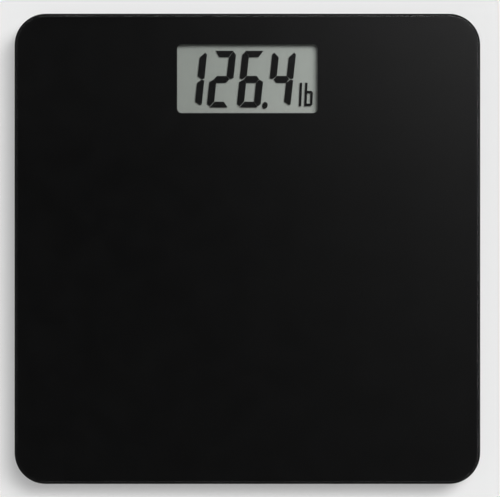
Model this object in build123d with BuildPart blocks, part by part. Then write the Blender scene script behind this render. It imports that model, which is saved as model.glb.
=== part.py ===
from build123d import *
import os
from math import atan, degrees, pi

# Digital bathroom scale: a glass platform on four load-cell feet, with one display and battery
# module bonded under a clear window. Millimetres. The origin is on the floor under the middle of
# the platform, +Z is up and +Y points away from the person who stands on it.

# ---------------------------------------------------------------- driving dimensions

platform_width = 300.0
platform_depth = 303.0
platform_height = 23.5
platform_corner = 20.0
glass_thickness = 6.0
glass_top_round = 1.8
glass_bottom_round = 1.2

window_width = 90.7
window_depth = 44.3
window_corner = 3.0
window_to_far_edge = 19.6

backing_thickness = 0.1
backing_margin = 1.6
tape_thickness = 0.6

wall = 1.6
roof_thickness = 1.2
fit_gap = 0.25
touch_gap = 0.02
screw_gap = 0.05
screw_hole_overrun = 0.5
small_round = 0.5
small_chamfer = 0.3

# Levels above the floor, from the glass down
glass_bottom = platform_height - glass_thickness
backing_bottom = glass_bottom - backing_thickness
module_top = backing_bottom - tape_thickness
roof_bottom = module_top - roof_thickness

# Sensor wires: three to a foot, side by side, each foot's bundle in its own guide
wire_radius = 0.6
wire_pitch = 1.45
wire_lanes = (-wire_pitch, 0.0, wire_pitch)
wire_level = roof_bottom - 0.7
wire_slot_width = 6.0
wire_slot_bottom = wire_level - 1.0
guide_width = 8.0
guide_inner_width = 5.6
guide_bottom = wire_level - 1.7
guide_bridge_length = 5.0
guide_bridge_thickness = 0.7
guide_end_gap = 0.3
guide_bridge_near_y = -70.0
guide_bridge_far_y = -25.0
guide_turn_y = 12.0
guide_turn_radius = 18.0
front_wire_x = 44.0

# Feet
foot_x = 112.0
foot_y = 113.5
foot_radius = 26.5
foot_bottom = 4.0
foot_bore_radius = 24.8
foot_lip_radius = 23.8
foot_lip_top = 6.0
foot_round = 1.2
foot_flange_radius = 28.8
foot_flange_round = 0.5
foot_tape_radius = 27.8
foot_travel = 0.4
foot_wire_gap = 1.0

# Where each bundle climbs from the cell to the glass, measured from the middle of its foot
wire_climb_start = 17.5
wire_climb_end = 23.5
wire_climb_bend = 8.0
wire_lift = 0.1

# Where each bundle drops to the circuit board: front bundles along Y, rear bundles along X
front_drop_start = 67.0
front_drop_end = 73.5
front_wire_end = 80.0
front_drop_bend = 7.0
rear_drop_start = 61.0
rear_drop_end = 55.8
rear_wire_end = 51.6
rear_drop_bends = (5.0, 4.5)

cell_size = 34.0
cell_corner = 5.0
cell_frame = 4.0
cell_thickness = 2.0
cell_bottom = 9.2
cell_top = cell_bottom + cell_thickness
cell_opening = cell_size - 2 * cell_frame
tongue_width = 14.0
tongue_back = 9.0
tongue_front = 5.0
tongue_corner = 2.0
neck_width = 8.0
neck_overlap = 2.0
potting_length = 7.0
potting_width = 7.0
potting_height = 1.3
potting_corner = 1.0
potting_gap = 0.5
potting_end = cell_opening / 2 - potting_gap

cap_radius = 23.4
cap_bottom = 2.0
cap_floor = 1.8
cap_rim = 1.6
cap_to_cell = 0.4
cap_top = cell_bottom - foot_travel - cap_to_cell
cap_round = 0.6
cap_lug_reach = 0.9
cap_lug_width = 6.0
cap_lug_height = 1.2
cap_lug_count = 3
cap_lug_start = 60.0
cap_post_radius = 3.5
cap_rib_width = 1.2
cap_rib_top = 6.5
pad_radius = 20.5
pad_recess = 0.6
pad_gap = 0.1
pad_chamfer = 0.5
pad_groove_depth = 0.8
pad_groove_width = 1.5
pad_groove_radii = (6.0, 11.0, 16.0)

# Display and battery module
window_y = platform_depth / 2 - window_to_far_edge - window_depth / 2
module_width = 132.0
module_depth = 98.0
module_y = 96.0
module_corner = 8.0
module_bottom = 3.0
module_split = 8.0
module_floor_top = module_bottom + wall
module_round = 1.2
module_inner_width = module_width - 2 * wall
module_inner_depth = module_depth - 2 * wall
module_front = module_y - module_depth / 2
lip_height = 1.4
lip_gap = 0.15
lip_thickness = 1.2
boss_gap = 0.4
opening_margin = 1.0
opening_width = window_width + 2 * opening_margin
opening_depth = window_depth + 2 * opening_margin

# Double-sided tape round the window and over the battery bay
window_tape_gap = 0.4
window_tape_width = 5.1
window_tape_reach = window_tape_gap + window_tape_width
bay_tape_end = 11.0
bay_tape_edge = 2.0

# Liquid crystal display, from its top face down
lcd_to_roof = 0.4
lcd_top = roof_bottom - lcd_to_roof
sheet_thickness = 0.2
pane_thickness = 1.1
front_pane_bottom = lcd_top - sheet_thickness - pane_thickness
rear_pane_bottom = front_pane_bottom - pane_thickness
reflector_bottom = rear_pane_bottom - sheet_thickness
pane_width = 96.0
front_pane_depth = 52.0
contact_ledge = 4.0
rear_pane_depth = front_pane_depth - contact_ledge
sheet_inset = 1.0

frame_wall = 2.4
frame_gap = 0.2
frame_pocket_width = pane_width + 2 * frame_gap
frame_pocket_depth = front_pane_depth + 2 * frame_gap
frame_width = frame_pocket_width + 2 * frame_wall
frame_depth = frame_pocket_depth + 2 * frame_wall
shelf_width = 4.7
zebra_width = 86.0
zebra_depth = 2.4

# Circuit board and what it carries
board_width = 112.0
board_front = 77.0
board_back = 141.5
board_thickness = 1.2
board_top = 9.9
board_bottom = board_top - board_thickness
board_corner = 1.5
board_depth = board_back - board_front
board_y = (board_front + board_back) / 2
blob_radius = 7.0
blob_height = 1.8
blob_round = 1.4
crystal_length = 11.0
crystal_width = 4.6
crystal_height = 3.4
crystal_at = (22.0, 122.0)
capacitor_length = 7.3
capacitor_width = 4.3
capacitor_height = 2.8
capacitor_at = (-24.0, 120.0)

# Unit button and its switch
button_x = 40.0
button_y = 100.0
button_radius = 3.9
button_hole_radius = 4.0
button_flange_radius = 5.2
button_bottom = module_bottom + 0.2
button_flange_bottom = module_floor_top + 0.05
button_top = module_floor_top + 0.7
button_round = 0.4
button_hole_chamfer = 0.6
switch_size = 6.2
switch_height = 2.7
switch_bottom = board_bottom - switch_height
plunger_radius = 1.7
plunger_bore_radius = 1.8
plunger_top = switch_bottom + 1.0
plunger_bore_top = switch_bottom + 1.5
plunger_chamfer = 0.2

# Battery bay with two AAA cells side by side, their ends the other way round
battery_radius = 5.25
battery_length = 43.7
battery_round = 0.5
nub_radius = 1.9
nub_length = 0.8
battery_pitch = 11.2
bay_width = 51.0
bay_depth = 22.6
bay_y = 63.5
bay_wall = 1.2
bay_to_roof = 0.1
bay_top = roof_bottom - bay_to_roof
battery_z = module_floor_top + fit_gap + battery_radius
contact_thickness = 0.3
contact_width = 9.0
contact_bottom = 5.8
contact_top = 15.0
spring_wire_radius = 0.3
spring_base_radius = 3.8
spring_tip_radius = 2.2
spring_turns = 3.5
spring_length = bay_width - 2 * contact_thickness - battery_length - nub_length

# Leads from the two contacts to the circuit board
lead_radius = 0.45
lead_notch = 2.4
lead_below_contact = 0.8
lead_end_y = 80.5
positive_lead_x = 36.0
positive_lead_y = bay_y - battery_pitch / 2
positive_lead_drop = (69.5, 75.5)
positive_lead_bends = [4.0, 5.0, 5.0]
negative_lead_x = 31.5
negative_lead_y = 66.0
negative_lead_drop = (71.0, 76.0)
negative_lead_bends = [2.2, 3.0, 4.0]

door_thickness = 1.6
door_barrel_radius = 1.2
door_barrel_gap = 0.3
door_axis_y = bay_y + bay_depth / 2 - door_barrel_radius - door_barrel_gap
door_axis_z = module_bottom + door_barrel_radius
door_width = bay_width - 2 * fit_gap
door_front = bay_y - bay_depth / 2 + fit_gap
door_pin_radius = 0.6
door_socket_radius = 0.66
door_pin_length = 1.05
door_socket_depth = 1.1
latch_width = 9.0
latch_depth = 6.0
latch_slit = 0.8
latch_ridge_count = 3
latch_ridge_pitch = 1.4
latch_ridge_width = 0.6
latch_ridge_depth = 0.4
latch_ridge_margin = 1.0
scoop_radius = 7.0
scoop_land = 2 * wall
scoop_depth = 0.8

# Screws
cover_screw_points = [(x, y) for x in (-60.0, 60.0) for y in (53.0, 139.0)]
cover_boss_radius = 3.2
cover_head_radius = 2.5
cover_head_height = 1.6
cover_counterbore_radius = 2.7
cover_counterbore_top = 5.4
cover_shank_radius = 1.2
cover_shank_top = 13.0
cover_hole_radius = 1.4
board_screw_points = [(x, y) for x in (-53.4, 53.4) for y in (83.0, 136.5)]
board_boss_radius = 2.3
board_head_radius = 1.9
board_head_height = 1.3
board_shank_radius = 0.9
board_shank_top = 14.0
board_hole_radius = 1.1
cell_screw_offset = cell_size / 2 - cell_frame / 2
cell_head_radius = 1.8
cell_head_height = 1.1
cell_shank_radius = 0.95
cell_shank_top = 14.6
cell_hole_radius = 1.05
screw_slot_width = 0.6
screw_slot_depth = 0.6
screw_slot_reach = 1.3
screw_round_share = 0.25

os.makedirs("parts", exist_ok=True)


def save(piece, name):
    """Label one finished piece and write it as its own STEP file."""
    piece.part.label = name
    export_step(piece.part, f"parts/{name}.step")


def make_screws(points, head_bottom, head_height, head_radius, shank_radius, shank_top):
    """Identical screws, heads down, with a cross recess in each head."""
    with BuildPart() as screws:
        with BuildSketch(Plane.XY.offset(head_bottom)):
            with Locations(points):
                Circle(head_radius)
        extrude(amount=head_height)
        fillet(screws.edges().group_by(Axis.Z)[0], head_height * screw_round_share)
        with BuildSketch(Plane.XY.offset(head_bottom + head_height)):
            with Locations(points):
                Circle(shank_radius)
        extrude(amount=shank_top - head_bottom - head_height)
        with BuildSketch(Plane.XY.offset(head_bottom)):
            with Locations(points):
                Rectangle(head_radius * screw_slot_reach, screw_slot_width)
                Rectangle(screw_slot_width, head_radius * screw_slot_reach)
        extrude(amount=screw_slot_depth, mode=Mode.SUBTRACT)
    return screws


def make_tubes(routes, radii, radius):
    """Round wires that follow straight runs joined by tangent arcs."""
    with BuildPart() as tubes:
        for points, corner_radii in zip(routes, radii):
            with BuildLine() as route:
                FilletPolyline(*points, radius=corner_radii)
            with BuildSketch(Plane(origin=route.line @ 0, z_dir=route.line % 0)):
                Circle(radius)
            sweep(path=route.wire())
            wanted = pi * radius**2 * route.wire().length
            print(f"tube length {route.wire().length:.1f} wanted volume {wanted:.2f}")
    return tubes


# ---------------------------------------------------------------- platform

with BuildPart() as glass_platform:
    with BuildSketch(Plane.XY.offset(glass_bottom)):
        RectangleRounded(platform_width, platform_depth, platform_corner)
    extrude(amount=glass_thickness)
    fillet(glass_platform.edges().group_by(Axis.Z)[-1], glass_top_round)
    fillet(glass_platform.edges().group_by(Axis.Z)[0], glass_bottom_round)
save(glass_platform, "glass_platform")

with BuildPart() as black_backing:
    with BuildSketch(Plane.XY.offset(backing_bottom)):
        RectangleRounded(
            platform_width - 2 * backing_margin,
            platform_depth - 2 * backing_margin,
            platform_corner - backing_margin,
        )
        with Locations((0, window_y)):
            RectangleRounded(window_width, window_depth, window_corner, mode=Mode.SUBTRACT)
    extrude(amount=backing_thickness)
save(black_backing, "black_backing")

with BuildPart() as display_tape:
    with BuildSketch(Plane.XY.offset(module_top)):
        with Locations((0, window_y)):
            Rectangle(opening_width + 2 * window_tape_reach, opening_depth + 2 * window_tape_reach)
            Rectangle(
                opening_width + 2 * window_tape_gap,
                opening_depth + 2 * window_tape_gap,
                mode=Mode.SUBTRACT,
            )
        with Locations((0, bay_y)):
            Rectangle(module_width - 2 * bay_tape_end, bay_depth - 2 * bay_tape_edge)
    extrude(amount=tape_thickness)
save(display_tape, "display_tape")

# ---------------------------------------------------------------- upper shell of the module

with BuildPart() as display_housing:
    with BuildSketch(Plane.XY.offset(module_split)):
        with Locations((0, module_y)):
            RectangleRounded(module_width, module_depth, module_corner)
    extrude(amount=module_top - module_split)
    with BuildSketch(Plane.XY.offset(module_split)):
        with Locations((0, module_y)):
            RectangleRounded(module_inner_width, module_inner_depth, module_corner - wall)
    extrude(amount=roof_bottom - module_split, mode=Mode.SUBTRACT)
    with BuildSketch(Plane.XY.offset(roof_bottom)):
        with Locations((0, window_y)):
            RectangleRounded(opening_width, opening_depth, window_corner)
    extrude(amount=roof_thickness, mode=Mode.SUBTRACT)
    with BuildSketch(Plane.XY.offset(module_split)):
        with Locations(cover_screw_points):
            Circle(cover_boss_radius)
    extrude(amount=roof_bottom - module_split)
    with BuildSketch(Plane.XY.offset(board_top)):
        with Locations(board_screw_points):
            Circle(board_boss_radius)
    extrude(amount=roof_bottom - board_top)
    with BuildSketch(Plane.XY.offset(module_split)):
        with Locations(cover_screw_points):
            Circle(cover_shank_radius + screw_gap)
    extrude(amount=cover_shank_top - module_split + screw_hole_overrun, mode=Mode.SUBTRACT)
    with BuildSketch(Plane.XY.offset(board_top)):
        with Locations(board_screw_points):
            Circle(board_shank_radius + screw_gap)
    extrude(amount=board_shank_top - board_top + screw_hole_overrun, mode=Mode.SUBTRACT)
    # slots where the sensor wires come in: two in the front wall, one in each side wall
    with BuildSketch(Plane.XY.offset(wire_slot_bottom)):
        with Locations((-front_wire_x, module_front + wall / 2), (front_wire_x, module_front + wall / 2)):
            Rectangle(wire_slot_width, wall)
        with Locations((0, foot_y)):
            Rectangle(module_width, wire_slot_width)
            Rectangle(module_inner_width, wire_slot_width, mode=Mode.SUBTRACT)
    extrude(amount=roof_bottom - wire_slot_bottom, mode=Mode.SUBTRACT)
save(display_housing, "display_housing")

# ---------------------------------------------------------------- lower shell of the module

with BuildPart() as back_cover:
    with BuildSketch(Plane.XY.offset(module_bottom)):
        with Locations((0, module_y)):
            RectangleRounded(module_width, module_depth, module_corner)
    extrude(amount=module_split - module_bottom)
    fillet(back_cover.edges().group_by(Axis.Z)[0], module_round)
    with BuildSketch(Plane.XY.offset(module_floor_top)):
        with Locations((0, module_y)):
            RectangleRounded(module_inner_width, module_inner_depth, module_corner - wall)
    extrude(amount=module_split - module_floor_top, mode=Mode.SUBTRACT)
    # inner lip that locates the upper shell, cleared round the screw bosses
    with BuildSketch(Plane.XY.offset(module_floor_top)):
        with Locations((0, module_y)):
            RectangleRounded(
                module_inner_width - 2 * lip_gap,
                module_inner_depth - 2 * lip_gap,
                module_corner - wall - lip_gap,
            )
            RectangleRounded(
                module_inner_width - 2 * lip_gap - 2 * lip_thickness,
                module_inner_depth - 2 * lip_gap - 2 * lip_thickness,
                module_corner - wall - lip_gap - lip_thickness,
                mode=Mode.SUBTRACT,
            )
    extrude(amount=module_split + lip_height - module_floor_top)
    with BuildSketch(Plane.XY.offset(module_floor_top)):
        with Locations((0, module_y)):
            RectangleRounded(module_inner_width, module_inner_depth, module_corner - wall)
            RectangleRounded(
                module_inner_width - 2 * lip_gap,
                module_inner_depth - 2 * lip_gap,
                module_corner - wall - lip_gap,
                mode=Mode.SUBTRACT,
            )
    extrude(amount=module_split - module_floor_top)
    with BuildSketch(Plane.XY.offset(module_split)):
        with Locations(cover_screw_points):
            Circle(cover_boss_radius + boss_gap)
    extrude(amount=lip_height, mode=Mode.SUBTRACT)
    with BuildSketch(Plane.XY.offset(module_floor_top)):
        with Locations(cover_screw_points):
            Circle(cover_boss_radius + boss_gap)
    extrude(amount=module_split - module_floor_top)
    # battery bay
    with BuildSketch(Plane.XY.offset(module_floor_top)):
        with Locations((0, bay_y)):
            Rectangle(bay_width + 2 * bay_wall, bay_depth + 2 * bay_wall)
    extrude(amount=bay_top - module_floor_top)
    with BuildSketch(Plane.XY.offset(module_bottom)):
        with Locations((0, bay_y)):
            Rectangle(bay_width, bay_depth)
    extrude(amount=bay_top - module_bottom, mode=Mode.SUBTRACT)
    # sockets for the door's pins
    with BuildSketch(Plane.YZ.offset(-bay_width / 2 - door_socket_depth)):
        with Locations((door_axis_y, door_axis_z)):
            Circle(door_socket_radius)
    extrude(amount=bay_width + 2 * door_socket_depth, mode=Mode.SUBTRACT)
    # notches where the battery leads leave the bay
    with BuildSketch(Plane.XY.offset(bay_top - lead_notch)):
        with Locations(
            ((bay_width + bay_wall) / 2, positive_lead_y),
            ((bay_width + bay_wall) / 2, negative_lead_y),
        ):
            Rectangle(bay_wall, lead_notch)
    extrude(amount=lead_notch, mode=Mode.SUBTRACT)
    # scoop for a fingertip in front of the door
    with BuildSketch(Plane.XY.offset(module_bottom)):
        with Locations((0, door_front)):
            Circle(scoop_radius)
        with Locations((0, module_front)):
            Rectangle(4 * scoop_radius, scoop_land, mode=Mode.SUBTRACT)
    extrude(amount=scoop_depth, mode=Mode.SUBTRACT)
    # unit button, and the four counterbored screw holes
    with Locations((button_x, button_y, module_bottom)):
        Cylinder(
            button_hole_radius,
            wall,
            align=(Align.CENTER, Align.CENTER, Align.MIN),
            mode=Mode.SUBTRACT,
        )
    chamfer(
        back_cover.edges()
        .filter_by(GeomType.CIRCLE)
        .filter_by(lambda edge: abs(edge.radius - button_hole_radius) < touch_gap)
        .sort_by(Axis.Z)[0],
        button_hole_chamfer,
    )
    with Locations([Location((x, y, module_bottom), (180, 0, 0)) for x, y in cover_screw_points]):
        CounterBoreHole(
            cover_hole_radius,
            cover_counterbore_radius,
            cover_counterbore_top - module_bottom,
            depth=module_split - module_bottom,
        )
save(back_cover, "back_cover")

save(
    make_screws(
        cover_screw_points,
        cover_counterbore_top - cover_head_height,
        cover_head_height,
        cover_head_radius,
        cover_shank_radius,
        cover_shank_top,
    ),
    "cover_screws",
)

# ---------------------------------------------------------------- display stack

lcd_center = (0, window_y)
rear_pane_center = (0, window_y + contact_ledge / 2)
zebra_y = window_y - front_pane_depth / 2 + contact_ledge / 2

with BuildPart() as lcd_frame:
    with BuildSketch(Plane.XY.offset(board_top)):
        with Locations(lcd_center):
            Rectangle(frame_width, frame_depth)
    extrude(amount=roof_bottom - board_top)
    with BuildSketch(Plane.XY.offset(board_top)):
        with Locations(lcd_center):
            Rectangle(frame_pocket_width, frame_pocket_depth)
    extrude(amount=lcd_top - board_top, mode=Mode.SUBTRACT)
    with BuildSketch(Plane.XY.offset(lcd_top)):
        with Locations(lcd_center):
            Rectangle(opening_width, opening_depth)
    extrude(amount=roof_bottom - lcd_top, mode=Mode.SUBTRACT)
    # shelf under the left, right and far edges of the display
    with BuildSketch(Plane.XY.offset(board_top)):
        with Locations(lcd_center):
            Rectangle(frame_pocket_width, frame_pocket_depth)
        with Locations((0, window_y - shelf_width)):
            Rectangle(
                frame_pocket_width - 2 * shelf_width,
                frame_pocket_depth,
                mode=Mode.SUBTRACT,
            )
    extrude(amount=reflector_bottom - board_top)
save(lcd_frame, "lcd_frame")

with BuildPart() as front_polariser:
    with BuildSketch(Plane.XY.offset(lcd_top - sheet_thickness)):
        with Locations(lcd_center):
            Rectangle(pane_width - 2 * sheet_inset, front_pane_depth - 2 * sheet_inset)
    extrude(amount=sheet_thickness)
save(front_polariser, "front_polariser")

with BuildPart() as lcd_front_glass:
    with BuildSketch(Plane.XY.offset(front_pane_bottom)):
        with Locations(lcd_center):
            Rectangle(pane_width, front_pane_depth)
    extrude(amount=pane_thickness)
save(lcd_front_glass, "lcd_front_glass")

with BuildPart() as lcd_rear_glass:
    with BuildSketch(Plane.XY.offset(rear_pane_bottom)):
        with Locations(rear_pane_center):
            Rectangle(pane_width, rear_pane_depth)
    extrude(amount=pane_thickness)
save(lcd_rear_glass, "lcd_rear_glass")

with BuildPart() as lcd_reflector:
    with BuildSketch(Plane.XY.offset(reflector_bottom)):
        with Locations(rear_pane_center):
            Rectangle(pane_width - sheet_inset, rear_pane_depth - sheet_inset)
    extrude(amount=sheet_thickness)
save(lcd_reflector, "lcd_reflector")

with BuildPart() as zebra_strip:
    with BuildSketch(Plane.XY.offset(board_top)):
        with Locations((0, zebra_y)):
            Rectangle(zebra_width, zebra_depth)
    extrude(amount=front_pane_bottom - board_top)
    chamfer(zebra_strip.edges().filter_by(Axis.X), small_chamfer)
save(zebra_strip, "zebra_strip")

# ---------------------------------------------------------------- electronics

with BuildPart() as main_board:
    with BuildSketch(Plane.XY.offset(board_bottom)):
        with Locations((0, board_y)):
            RectangleRounded(board_width, board_depth, board_corner)
        with Locations(board_screw_points):
            Circle(board_hole_radius, mode=Mode.SUBTRACT)
    extrude(amount=board_thickness)
save(main_board, "main_board")

save(
    make_screws(
        board_screw_points,
        board_bottom - board_head_height,
        board_head_height,
        board_head_radius,
        board_shank_radius,
        board_shank_top,
    ),
    "board_screws",
)

with BuildPart() as controller_blob:
    with BuildSketch(Plane.XY.offset(board_bottom - blob_height)):
        with Locations((0, window_y)):
            Circle(blob_radius)
    extrude(amount=blob_height)
    fillet(controller_blob.edges().group_by(Axis.Z)[0], blob_round)
save(controller_blob, "controller_blob")

with BuildPart() as crystal_can:
    with BuildSketch(Plane.XY.offset(board_bottom - crystal_height)):
        with Locations(crystal_at):
            SlotOverall(crystal_length, crystal_width)
    extrude(amount=crystal_height)
    fillet(crystal_can.edges().group_by(Axis.Z)[0], small_round)
save(crystal_can, "crystal_can")

with BuildPart() as filter_capacitor:
    with BuildSketch(Plane.XY.offset(board_bottom - capacitor_height)):
        with Locations(capacitor_at):
            Rectangle(capacitor_length, capacitor_width)
    extrude(amount=capacitor_height)
    chamfer(filter_capacitor.edges().group_by(Axis.Z)[0], small_chamfer)
save(filter_capacitor, "filter_capacitor")

# ---------------------------------------------------------------- unit button and switch

with BuildPart() as switch_body:
    with BuildSketch(Plane.XY.offset(switch_bottom)):
        with Locations((button_x, button_y)):
            RectangleRounded(switch_size, switch_size, small_round)
    extrude(amount=switch_height)
    with BuildSketch(Plane.XY.offset(switch_bottom)):
        with Locations((button_x, button_y)):
            Circle(plunger_bore_radius)
    extrude(amount=plunger_bore_top - switch_bottom, mode=Mode.SUBTRACT)
save(switch_body, "switch_body")

with BuildPart() as switch_plunger:
    with BuildSketch(Plane.XY.offset(button_top + touch_gap)):
        with Locations((button_x, button_y)):
            Circle(plunger_radius)
    extrude(amount=plunger_top - button_top - touch_gap)
    chamfer(switch_plunger.edges().group_by(Axis.Z)[0], plunger_chamfer)
save(switch_plunger, "switch_plunger")

with BuildPart() as unit_button:
    with BuildSketch(Plane.XY.offset(button_bottom)):
        with Locations((button_x, button_y)):
            Circle(button_radius)
    extrude(amount=button_flange_bottom - button_bottom)
    fillet(unit_button.edges().group_by(Axis.Z)[0], button_round)
    with BuildSketch(Plane.XY.offset(button_flange_bottom)):
        with Locations((button_x, button_y)):
            Circle(button_flange_radius)
    extrude(amount=button_top - button_flange_bottom)
save(unit_button, "unit_button")

# ---------------------------------------------------------------- battery compartment

with BuildPart() as battery_door:
    with BuildSketch(Plane.XY.offset(module_bottom)):
        with Locations((0, (door_front + door_axis_y) / 2)):
            Rectangle(door_width, door_axis_y - door_front)
    extrude(amount=door_thickness)
    with BuildSketch(Plane.YZ.offset(-door_width / 2)):
        with Locations((door_axis_y, door_axis_z)):
            Circle(door_barrel_radius)
    extrude(amount=door_width)
    with BuildSketch(Plane.YZ.offset(-door_width / 2 - door_pin_length)):
        with Locations((door_axis_y, door_axis_z)):
            Circle(door_pin_radius)
    extrude(amount=door_width + 2 * door_pin_length)
    # two slits that free the springy latch tongue, and ridges to grip it
    with BuildSketch(Plane.XY.offset(module_bottom)):
        with Locations(
            (-latch_width / 2, door_front + latch_depth / 2),
            (latch_width / 2, door_front + latch_depth / 2),
        ):
            Rectangle(latch_slit, latch_depth)
    extrude(amount=door_thickness, mode=Mode.SUBTRACT)
    with BuildSketch(Plane.XY.offset(module_bottom)):
        with Locations((0, door_front + latch_depth / 2)):
            with GridLocations(0, latch_ridge_pitch, 1, latch_ridge_count):
                Rectangle(latch_width - 2 * latch_ridge_margin, latch_ridge_width)
    extrude(amount=latch_ridge_depth, mode=Mode.SUBTRACT)
save(battery_door, "battery_door")

# Battery 1 points its nub to +X and battery 2 to -X; each has its spring at the other end
battery_places = {
    "1": (bay_y - battery_pitch / 2, 1),
    "2": (bay_y + battery_pitch / 2, -1),
}
bay_end = bay_width / 2 - contact_thickness

for number, (battery_y, facing) in battery_places.items():
    flat_end = facing * (bay_end - nub_length - battery_length)
    with BuildPart() as battery:
        with BuildSketch(Plane((flat_end, battery_y, battery_z), z_dir=(facing, 0, 0))):
            Circle(battery_radius)
        extrude(amount=battery_length)
        fillet(battery.edges().filter_by(GeomType.CIRCLE), battery_round)
        with BuildSketch(
            Plane((flat_end + facing * battery_length, battery_y, battery_z), z_dir=(facing, 0, 0))
        ):
            Circle(nub_radius)
        extrude(amount=nub_length)
    save(battery, f"battery_{number}")

# One conical spring behind battery 1; the other is the same spring turned half way round the bay
coil_rise = spring_length - 2 * spring_wire_radius
coil_start = (-bay_end + spring_wire_radius, battery_places["1"][0], battery_z)

with BuildPart() as battery_spring_1:
    with BuildLine() as coil:
        Helix(
            coil_rise / spring_turns,
            coil_rise,
            spring_base_radius,
            center=coil_start,
            direction=(1, 0, 0),
            cone_angle=-degrees(atan((spring_base_radius - spring_tip_radius) / coil_rise)),
        )
    with BuildSketch(Plane(origin=coil.line @ 0, z_dir=coil.line % 0)):
        Circle(spring_wire_radius)
    sweep(path=coil.wire(), is_frenet=True)
save(battery_spring_1, "battery_spring_1")

with BuildPart() as battery_spring_2:
    add(battery_spring_1.part.rotate(Axis((0, bay_y, 0), (0, 0, 1)), 180))
save(battery_spring_2, "battery_spring_2")


def make_contact(inner_face, outward, center_y, width):
    """A flat contact plate against one end wall of the bay."""
    with BuildPart() as contact:
        with BuildSketch(Plane((inner_face, center_y, 0), x_dir=(0, 1, 0), z_dir=(outward, 0, 0))):
            with Locations((0, outward * (contact_bottom + contact_top) / 2)):
                Rectangle(width, contact_top - contact_bottom)
        extrude(amount=contact_thickness)
    return contact


save(make_contact(bay_end, 1, battery_places["1"][0], contact_width), "positive_contact")
save(make_contact(bay_end, 1, battery_places["2"][0], contact_width), "negative_contact")
save(make_contact(-bay_end, -1, bay_y, contact_width + battery_pitch), "link_contact")

lead_z = contact_top - lead_below_contact
lead_end_z = board_top + lead_radius + touch_gap
lead_routes = []
for lead_x, lead_y, (drop_start, drop_end) in (
    (positive_lead_x, positive_lead_y, positive_lead_drop),
    (negative_lead_x, negative_lead_y, negative_lead_drop),
):
    lead_routes.append(
        [
            (bay_width / 2, lead_y, lead_z),
            (lead_x, lead_y, lead_z),
            (lead_x, drop_start, lead_z),
            (lead_x, drop_end, lead_end_z),
            (lead_x, lead_end_y, lead_end_z),
        ]
    )
save(make_tubes(lead_routes, [positive_lead_bends, negative_lead_bends], lead_radius), "battery_leads")

# ---------------------------------------------------------------- feet

foot_directions = {
    "front_left": (-1, -1, (0, 1)),
    "front_right": (1, -1, (0, 1)),
    "rear_left": (-1, 1, (1, 0)),
    "rear_right": (1, 1, (-1, 0)),
}


def foot_plane(side_x, side_y, exit_direction):
    """The floor plane under one foot, with its own X axis towards the side where the wires leave."""
    return Plane(
        origin=(side_x * foot_x, side_y * foot_y, 0),
        x_dir=(exit_direction[0], exit_direction[1], 0),
        z_dir=(0, 0, 1),
    )


def make_foot_housing(plane):
    """Round shell bonded under the glass, with a square ledge that bears on the load cell."""
    with BuildPart() as housing:
        with BuildSketch(plane.offset(foot_bottom)):
            Circle(foot_radius)
        extrude(amount=module_top - foot_bottom)
        fillet(housing.edges().group_by(Axis.Z)[0], foot_round)
        with BuildSketch(plane.offset(roof_bottom)):
            Circle(foot_flange_radius)
        extrude(amount=roof_thickness)
        fillet(housing.edges().group_by(Axis.Z)[-1], foot_flange_round)
        with BuildSketch(plane.offset(foot_lip_top)):
            Circle(foot_bore_radius)
        extrude(amount=roof_bottom - foot_lip_top, mode=Mode.SUBTRACT)
        with BuildSketch(plane.offset(foot_bottom)):
            Circle(foot_lip_radius)
        extrude(amount=foot_lip_top - foot_bottom, mode=Mode.SUBTRACT)
        with BuildSketch(plane.offset(cell_top)):
            RectangleRounded(cell_size, cell_size, cell_corner)
            Rectangle(cell_opening, cell_opening, mode=Mode.SUBTRACT)
            with Locations((cell_size / 2 - cell_frame / 2, 0)):
                Rectangle(cell_frame + foot_wire_gap, wire_slot_width, mode=Mode.SUBTRACT)
            with Locations((0, cell_screw_offset), (0, -cell_screw_offset)):
                Circle(cell_hole_radius, mode=Mode.SUBTRACT)
        extrude(amount=roof_bottom - cell_top)
        with BuildSketch(plane.offset(wire_slot_bottom)):
            with Locations(((foot_radius + foot_bore_radius) / 2, 0)):
                Rectangle(foot_radius - foot_bore_radius + foot_wire_gap, wire_slot_width)
        extrude(amount=roof_bottom - wire_slot_bottom, mode=Mode.SUBTRACT)
    return housing


def make_load_cell(plane):
    """Stamped steel half-bridge cell: an outer frame with one tongue that the foot presses."""
    with BuildPart() as cell:
        with BuildSketch(plane.offset(cell_bottom)):
            RectangleRounded(cell_size, cell_size, cell_corner)
            Rectangle(cell_opening, cell_opening, mode=Mode.SUBTRACT)
            with Locations(((tongue_front - tongue_back) / 2, 0)):
                RectangleRounded(tongue_front + tongue_back, tongue_width, tongue_corner)
            with Locations(((tongue_front + cell_opening / 2) / 2, 0)):
                Rectangle(cell_opening / 2 - tongue_front + neck_overlap, neck_width)
            with Locations((0, cell_screw_offset), (0, -cell_screw_offset)):
                Circle(cell_hole_radius, mode=Mode.SUBTRACT)
        extrude(amount=cell_thickness)
    return cell


def make_gauge_potting(plane):
    """Soft white block that seals the strain gauges on the neck of the tongue."""
    with BuildPart() as potting:
        with BuildSketch(plane.offset(cell_top)):
            with Locations((potting_end - potting_length / 2, 0)):
                RectangleRounded(potting_length, potting_width, potting_corner)
        extrude(amount=potting_height)
    return potting


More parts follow.
